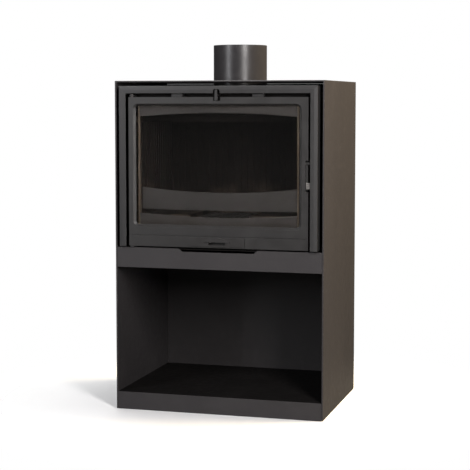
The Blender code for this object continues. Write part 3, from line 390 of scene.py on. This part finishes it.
def lever_paint(name, color, tab_top):
    """Satin paint, worn through to bright steel on the tab that fingers pull."""
    finish = Finish(name, Specular_IOR_Level=0.45)
    grain = finish.noise(1300.0, 2.0)
    scratch = finish.noise(90.0, 2.0, finish.stretched(1.0, 1.0, 9.0))
    coat = finish.blend(finish.span(grain, 0.50, 0.78, 0.0, 0.4), color, tone(color, 1.8))
    ragged = finish.span(finish.noise(240.0, 4.0), 0.30, 0.70, -0.0022, 0.0022)
    level = finish.math(finish.height(), ragged)
    worn = finish.span(level, tab_top - 0.001, tab_top + 0.002, 1.0, 0.0)
    edge = finish.math(finish.edges(0.0010), 0.30, "MULTIPLY")
    bare = finish.math(worn, edge, "MAXIMUM")
    steel = finish.blend(finish.span(scratch, 0.40, 0.68), (0.24, 0.225, 0.21), (0.46, 0.44, 0.42))
    metal = finish.math(bare, 0.85, "MULTIPLY")
    rough = finish.span(scratch, 0.35, 0.70, 0.36, 0.48)
    normal = finish.bump(scratch, 0.00003, 0.5, finish.bump(grain, 0.00004, 0.6))
    return finish.done(finish.blend(bare, coat, steel), rough, normal, metal)


lever_black = lever_paint("latch_satin_paint", (0.026, 0.025, 0.0245), LEVER_TAB_TOP)
print("worn paint:", lever_black.name)

# %% [markdown]
# ## Vermiculite
# The boards round the fire are pressed from flakes of vermiculite. New board is the colour of dry
# sand, but smoke soon turns it dark brown. Soot then blackens it from the top down, while the fire
# burns parts near the bed clean again. So the finish is two colours, browned board and soot,
# divided by height and by a ragged noise, and a bump gives the flakes their relief.

# %% Vermiculite
def vermiculite(name, clean, soot_low, soot_high, deep=0.96):
    finish = Finish(name, Specular_IOR_Level=0.10)
    flakes = finish.cells(330.0)
    size = finish.noise(90.0, 3.0)
    board = finish.blend(finish.span(flakes, 0.05, 0.55), tone(clean, 0.72), tone(clean, 1.28))
    board = finish.blend(finish.span(size, 0.40, 0.70, 0.0, 0.5), board, tone(clean, 0.62))
    ragged = finish.span(finish.noise(9.0, 6.0), 0.25, 0.75, -0.09, 0.09)
    level = finish.math(finish.height(), ragged)
    soot = finish.span(level, soot_low, soot_high, 0.30, deep)
    coat = finish.blend(soot, board, (0.009, 0.0075, 0.0068))
    rough = finish.span(flakes, 0.0, 0.6, 0.82, 0.97)
    flaked = finish.bump(flakes, 0.0004, 0.7)
    return finish.done(coat, rough, finish.bump(size, 0.0006, 0.5, flaked))


board = vermiculite("vermiculite_board", (0.036, 0.028, 0.022), 0.60, 0.76)
brick = vermiculite("hearth_vermiculite", (0.045, 0.036, 0.028), 0.60, 0.70, deep=0.85)
print("boards:", board.name, brick.name)

# %% [markdown]
# ## Glass fibre
# The rope behind the door's edge and the tape round the glass are knitted from glass fibre, dyed
# dark grey. Besides a bump, the colour carries a painted highlight on each loop of the knit, where
# the yarns would catch the light, and painted shade between the loops.

# %% Glass fibre
def knitted_fibre(name, color, pitch):
    finish = Finish(name, Specular_IOR_Level=0.25, Sheen_Weight=0.25)
    yarn = finish.cells(1.0 / pitch)
    fuzz = finish.noise(2600.0, 2.0)
    # Painted highlight on each loop of the knit and painted shade between the loops.
    knit = finish.blend(finish.span(yarn, 0.10, 0.62), tone(color, 1.55), tone(color, 0.42))
    knit = finish.blend(finish.span(fuzz, 0.50, 0.75, 0.0, 0.35), knit, tone(color, 2.4))
    rough = finish.span(fuzz, 0.3, 0.7, 0.84, 0.98)
    loops = finish.bump(yarn, 0.0004, 0.7)
    return finish.done(knit, rough, finish.bump(fuzz, 0.00008, 0.6, loops))


rope_fibre = knitted_fibre("rope_glass_fibre", (0.085, 0.083, 0.082), 0.0016)
tape_fibre = knitted_fibre("tape_glass_fibre", (0.070, 0.068, 0.068), 0.0011)
print("fibres:", rope_fibre.name, tape_fibre.name)

# %% [markdown]
# ## Ceramic glass
# The pane is ceramic glass, which bears the heat of the fire. It has a faint warm tint, and a
# little haze gathers at its edges, where the washing air is slowest. A Mix Shader answers shadow
# rays with a clear grey shader: without it the renderer would leave the firebox black behind the
# pane. The grey keeps back about a third of a lamp's light at each face, so under half of it gets
# through and the firebox stays dark. Real glass would let more light in.

# %% Ceramic glass
PASSED_LIGHT = (0.66, 0.65, 0.64)


def ceramic_glass(name, low, high):
    finish = Finish(name, Transmission_Weight=1.0, IOR=1.47, Specular_IOR_Level=0.5)
    split = finish.add("ShaderNodeSeparateXYZ")
    finish.join(finish.place, split.inputs[0])
    from_left = finish.math(split.outputs["X"], low.x, "SUBTRACT")
    from_right = finish.math(high.x, split.outputs["X"], "SUBTRACT")
    from_foot = finish.math(split.outputs["Z"], low.z, "SUBTRACT")
    from_top = finish.math(high.z, split.outputs["Z"], "SUBTRACT")
    beside = finish.math(from_left, from_right, "MINIMUM")
    nearest = finish.math(beside, finish.math(from_foot, from_top, "MINIMUM"), "MINIMUM")
    ragged = finish.span(finish.noise(18.0, 5.0), 0.30, 0.72, -0.004, 0.012)
    haze = finish.span(finish.math(nearest, ragged), 0.004, 0.026, 1.0, 0.0)
    smear = finish.span(finish.noise(7.0, 4.0, finish.stretched(1.0, 1.0, 0.4)), 0.45, 0.75)
    tint = finish.blend(haze, (0.88, 0.865, 0.845), (0.72, 0.69, 0.65))
    rough = finish.math(finish.math(haze, 0.04, "MULTIPLY"), finish.math(smear, 0.008, "MULTIPLY"))
    material = finish.done(tint, rough)
    path = finish.add("ShaderNodeLightPath")
    clear = finish.add("ShaderNodeBsdfTransparent")
    clear.inputs["Color"].default_value = (*PASSED_LIGHT, 1.0)
    either = finish.add("ShaderNodeMixShader")
    output = finish.tree.nodes["Material Output"]
    finish.join(path.outputs["Is Shadow Ray"], either.inputs["Fac"])
    finish.join(finish.shader.outputs["BSDF"], either.inputs[1])
    finish.join(clear.outputs["BSDF"], either.inputs[2])
    finish.join(either.outputs["Shader"], output.inputs["Surface"])
    return material


pane_low, pane_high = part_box("door_glass")
pane_glass = ceramic_glass("ceramic_glass", pane_low, pane_high)
print("pane", round(pane_high.x - pane_low.x, 4), "by", round(pane_high.z - pane_low.z, 4))

# %% [markdown]
# ## Finishing the working model
# Every piece of the working model takes one of the finishes above, and all but three keep their
# mesh. The table is written by finish, because that is how a maker would sort the pieces before
# painting them.

# %% Give each piece its finish
FINISHES = {
    anthracite: ("side_panel_left", "side_panel_right", "top_plate", "back_panel", "fascia_band",
                 "plinth_front"),
    inner_black_and_shade: ("hearth_shelf", "store_ceiling", "store_floor", "front_plate"),
    satin_black: ("surround_frame", "spacer_block_left", "spacer_block_right", "air_knob",
                  "hinge_bracket_upper", "hinge_bracket_lower", "latch_keeper"),
    flue_paint: ("flue_pipe",),
    door_iron: ("door_frame",),
    grip_iron: ("door_grip",),
    hearth_iron: ("sill_plate", "air_wash_deflector", "flue_collar"),
    guard_iron: ("log_guard",),
    grate_iron: ("grate",),
    blue_steel: ("rear_heat_shield", "air_shutter", "hinge_pin_upper", "hinge_pin_lower",
                 "glass_retainer_left", "glass_retainer_right",
                 "glass_screw_left_1", "glass_screw_left_2", "glass_screw_right_1",
                 "glass_screw_right_2", "levelling_foot_1", "levelling_foot_2",
                 "levelling_foot_3", "levelling_foot_4"),
    fire_steel: ("firebox_wrap", "firebox_base", "firebox_top", "hearth_frame", "ash_pan",
                 "baffle_plate", "air_box"),
    zinc: ("latch_pivot_pin", "keeper_pin"),
    jamb_zinc: ("jamb_left", "jamb_right"),
    lever_black: ("latch_lever",),
    board: ("lining_left", "lining_right", "lining_back", "baffle_board"),
    brick: ("hearth_brick_left", "hearth_brick_right"),
    rope_fibre: ("door_rope",),
    tape_fibre: ("glass_gasket",),
    pane_glass: ("door_glass",),
}
finished = set()
for material, names in FINISHES.items():
    for name in names:
        nodes[name].data.materials.clear()
        nodes[name].data.materials.append(material)
        finished.add(name)
print("finished", len(finished), "pieces, left over:", sorted(set(nodes) - finished))

# %% [markdown]
# ## Tools for mesh work
# Pieces made here stand in the stove's own frame, in metres, with their objects at the origin like
# those of the working model. A swept piece carries a ring of points along a path, and a turned
# piece is the same thing carried round in a circle.

# %% Mesh helpers
def piece_from(form, name, material, body):
    """Turns a finished bmesh into a smooth shaded piece that rides on a body."""
    bmesh.ops.recalc_face_normals(form, faces=form.faces)
    mesh = bpy.data.meshes.new(name)
    form.to_mesh(mesh)
    form.free()
    mesh.materials.append(material)
    mesh.shade_smooth()
    mesh.set_sharp_from_angle(angle=radians(35))
    piece = bpy.data.objects.new(name, mesh)
    bpy.context.scene.collection.objects.link(piece)
    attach(piece, body)
    return piece


def skin(form, rings, closed=False, caps=False):
    """Faces between rings of points, which all have the same count."""
    loops = [[form.verts.new(point) for point in ring] for ring in rings]
    pairs = list(zip(loops, loops[1:]))
    if closed:
        pairs.append((loops[-1], loops[0]))
    count = len(loops[0])
    for first, second in pairs:
        for step in range(count):
            after = (step + 1) % count
            form.faces.new((first[step], first[after], second[after], second[step]))
    if caps:
        form.faces.new(loops[0])
        form.faces.new(loops[-1])


def arc(across, along, radius, start, end, steps):
    """Points on an arc, from one angle to another in degrees."""
    angles = [radians(start + (end - start) * step / steps) for step in range(steps + 1)]
    return [(across + radius * cos(angle), along + radius * sin(angle)) for angle in angles]


# %% [markdown]
# ## The flue outlet
# The outlet is a short pipe of rolled sheet, welded along one seam, with a rounded rim so that the
# next pipe slides on without catching. The working model has it with flat facets. Here the pipe
# goes round in fine steps, and the seam is a low bead at the back, where a fitter would turn it.

# %% Make the flue pipe
def make_flue_pipe():
    low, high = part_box("flue_pipe")
    middle = (low + high) / 2
    radius = (high.x - low.x) / 2
    wall = 0.002
    foot = 0.004
    seam_width = 0.0022
    seam_rise = 0.0006
    steps = 180
    rim = arc(radius - wall / 2, high.z - wall / 2, wall / 2, 0, 180, 8)
    profile = [(radius, low.z), (radius, low.z + foot)]
    profile += [(radius, low.z + (high.z - low.z) * share) for share in (0.25, 0.5, 0.75)]
    profile += rim
    profile += [(radius - wall, low.z + foot), (radius - wall, low.z)]
    rings = []
    for step in range(steps):
        turn = tau * step / steps
        off_seam = abs((turn - pi / 2 + pi) % tau - pi) * radius
        bead = seam_rise * max(0.0, 1 - (off_seam / seam_width) ** 2)
        ring = []
        for distance, height in profile:
            out = distance + (bead if distance > radius - wall / 2 else 0.0)
            ring.append((middle.x + out * cos(turn), middle.y + out * sin(turn), height))
        rings.append(ring)
    form = bmesh.new()
    skin(form, rings, closed=True)
    return piece_from(form, "flue_pipe_rolled", flue_paint, "stove")


flue = make_flue_pipe()
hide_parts("flue_pipe")
print("flue pipe:", len(flue.data.vertices), "points")

# %% [markdown]
# ## The rope seal
# The rope is a knitted tube pressed into the door's edge. Two families of yarn wind round it in
# opposite directions and leave hollows between them. Each point on the rope is pushed out by
# whichever winding stands higher there, which gives the crossed pattern in the mesh itself.

# %% Make the rope seal
def rounded_route(half, bottom, top, bend, spacing):
    """Evenly spaced places and directions along a round cornered rectangle, and its length."""
    corners = [(half - bend, bottom + bend, -90), (half - bend, top - bend, 0),
               (-half + bend, top - bend, 90), (-half + bend, bottom + bend, 180)]
    outline = []
    for across, height, start in corners:
        outline += arc(across, height, bend, start, start + 90, 24)
    outline.append(outline[0])
    lengths = [hypot(b[0] - a[0], b[1] - a[1]) for a, b in zip(outline, outline[1:])]
    total = sum(lengths)
    count = int(total / spacing)
    route = []
    index = 0
    passed = 0.0
    for step in range(count):
        target = total * step / count
        while passed + lengths[index] < target:
            passed += lengths[index]
            index += 1
        share = (target - passed) / lengths[index]
        start, end = Vector(outline[index]), Vector(outline[index + 1])
        route.append((start.lerp(end, share), (end - start).normalized(), target))
    return route, total


def make_rope():
    low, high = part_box("door_rope")
    radius = (high.y - low.y) / 2
    depth = (high.y + low.y) / 2
    middle = (low.x + high.x) / 2
    half = (high.x - low.x) / 2 - radius
    corner_bend = 0.014
    ring_spacing = 0.0011
    yarn_pitch = 0.012
    yarns = 6
    knit = 0.09
    sides = 24
    route, total = rounded_route(half, low.z + radius, high.z - radius, corner_bend, ring_spacing)
    winds = round(total / yarn_pitch)
    rings = []
    for place, along, passed in route:
        outward = Vector((along.y, -along.x))
        wind = tau * winds * passed / total
        ring = []
        for side in range(sides):
            turn = tau * side / sides
            raised = max(abs(sin(yarns / 2 * turn + wind)), abs(sin(yarns / 2 * turn - wind)))
            size = radius * (1 - knit + knit * raised)
            flat = place + outward * size * cos(turn)
            ring.append((middle + flat.x, depth + size * sin(turn), flat.y))
        rings.append(ring)
    form = bmesh.new()
    skin(form, rings, closed=True)
    return piece_from(form, "door_rope_knitted", rope_fibre, "door")


rope = make_rope()
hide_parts("door_rope")
print("rope seal:", len(rope.data.vertices), "points")

# %% [markdown]
# ## The log guard
# The guard is a casting that keeps logs from rolling out. It bows towards the pane and dips in its
# middle, in a single smooth curve, which the working model gives in flat steps. The finer one has
# round shoulders on its top edge and the draught angle that lets a casting leave the sand.

# %% Make the log guard
def make_log_guard():
    low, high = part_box("log_guard")
    middle = (low.x + high.x) / 2
    half = (high.x - low.x) / 2
    thick = 0.007
    bow = (high.y - low.y) - thick
    dip = 0.0155
    shoulder = 0.0024
    draught = 0.0006
    steps = 72
    rings = []
    for step in range(steps + 1):
        share = 2 * step / steps - 1
        across = middle + half * share
        front = low.y + bow * share ** 2
        top = high.z - dip * (1 - share ** 2)
        rear = front + thick
        ring = [(across, front, low.z), (across, front, (low.z + top) / 2)]
        for out, up in arc(0.0, 0.0, shoulder, 180, 90, 5):
            ring.append((across, front + draught + shoulder + out, top - shoulder + up))
        for out, up in arc(0.0, 0.0, shoulder, 90, 0, 5):
            ring.append((across, rear - draught - shoulder + out, top - shoulder + up))
        ring += [(across, rear, (low.z + top) / 2), (across, rear, low.z)]
        rings.append(ring)
    form = bmesh.new()
    skin(form, rings, caps=True)
    return piece_from(form, "log_guard_cast", guard_iron, "stove")


guard = make_log_guard()
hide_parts("log_guard")
print("log guard:", len(guard.data.vertices), "points")

# %% [markdown]
# ## Fixings of the back sheet
# The back sheet comes off for cleaning, so small pan head screws hold it round its edge. Each has a
# domed head with a cross cut into it. One function makes each head in its place, and all of them
# together are one piece.

# %% Make the back screws
HEAD_RADIUS = 0.0045
HEAD_RISE = 0.0024
HEAD_PROFILE = ((1.0, 0.0), (1.0, 0.45), (0.86, 0.78), (0.60, 1.0), (0.34, 1.0))
CROSS_ARM = 0.30
CROSS_CORNER = 0.12
CROSS_FLOOR = 0.35


def screw_head(form, place, radius, rise):
    """A domed screw head on the back sheet, with a cross recess, facing +Y."""
    sides = 20
    rings = []
    for share, height in HEAD_PROFILE:
        ring = []
        for side in range(sides):
            turn = tau * side / sides
            spread = radius * share
            ring.append((place.x + spread * cos(turn), place.y + rise * height,
                         place.z + spread * sin(turn)))
        rings.append(ring)
    cross = []
    for side in range(sides):
        turn = tau * side / sides
        spread = radius * (CROSS_ARM if side % 5 == 0 else CROSS_CORNER)
        cross.append((place.x + spread * cos(turn), place.y + rise * CROSS_FLOOR,
                      place.z + spread * sin(turn)))
    rings.append(cross)
    skin(form, rings, caps=True)


def make_back_screws():
    low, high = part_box("back_panel")
    inset = 0.012
    heights = [low.z + inset + (high.z - low.z - 2 * inset) * row / 4 for row in range(5)]
    places = [Vector((side * (high.x - inset), high.y, z)) for z in heights for side in (-1, 1)]
    places += [Vector((0.0, high.y, z)) for z in (heights[0], heights[-1])]
    form = bmesh.new()
    for place in places:
        screw_head(form, place, HEAD_RADIUS, HEAD_RISE)
    piece_from(form, "back_panel_screws", zinc, "stove")
    print("back screws:", len(places))


make_back_screws()

# %% [markdown]
# ## The floor
# A plain pale floor carries the stove's shadow. It fades outwards and is clear a metre out, so that
# no line shows where floor and air meet. It throws little light back at the stove, so that the low
# parts don't turn pale. It is staged: it isn't part of the stove.

# %% Lay the floor
FLOOR_RADIUS = 14.0
FLOOR_CLEARANCE = 0.0004
FADE_START = 0.43
FADE_END = 1.0


def lay_floor():
    finish = Finish("pale_floor")
    spread = finish.add("ShaderNodeVectorMath", operation="LENGTH")
    finish.join(finish.place, spread.inputs[0])
    fade = finish.span(spread.outputs["Value"], FADE_START, FADE_END)
    patches = finish.span(finish.noise(1.4, 4.0), 0.3, 0.7)
    pale = finish.blend(patches, (0.93, 0.93, 0.93), (0.97, 0.97, 0.97))
    seen = finish.add("ShaderNodeLightPath").outputs["Is Camera Ray"]
    pale = finish.blend(seen, (0.12, 0.12, 0.12), pale)
    finish.done(pale, 0.70, finish.bump(finish.noise(260.0, 3.0), 0.0002, 0.3))
    clear = finish.add("ShaderNodeBsdfTransparent")
    either = finish.add("ShaderNodeMixShader")
    finish.join(fade, either.inputs["Fac"])
    finish.join(finish.shader.outputs["BSDF"], either.inputs[1])
    finish.join(clear.outputs["BSDF"], either.inputs[2])
    finish.join(either.outputs["Shader"], finish.tree.nodes["Material Output"].inputs["Surface"])
    form = bmesh.new()
    bmesh.ops.create_circle(form, cap_ends=True, segments=96, radius=FLOOR_RADIUS)
    mesh = bpy.data.meshes.new("floor")
    form.to_mesh(mesh)
    form.free()
    mesh.materials.append(finish.material)
    floor = bpy.data.objects.new("floor", mesh)
    floor.location.z = -FLOOR_CLEARANCE
    bpy.context.scene.collection.objects.link(floor)
    print("floor laid")


lay_floor()
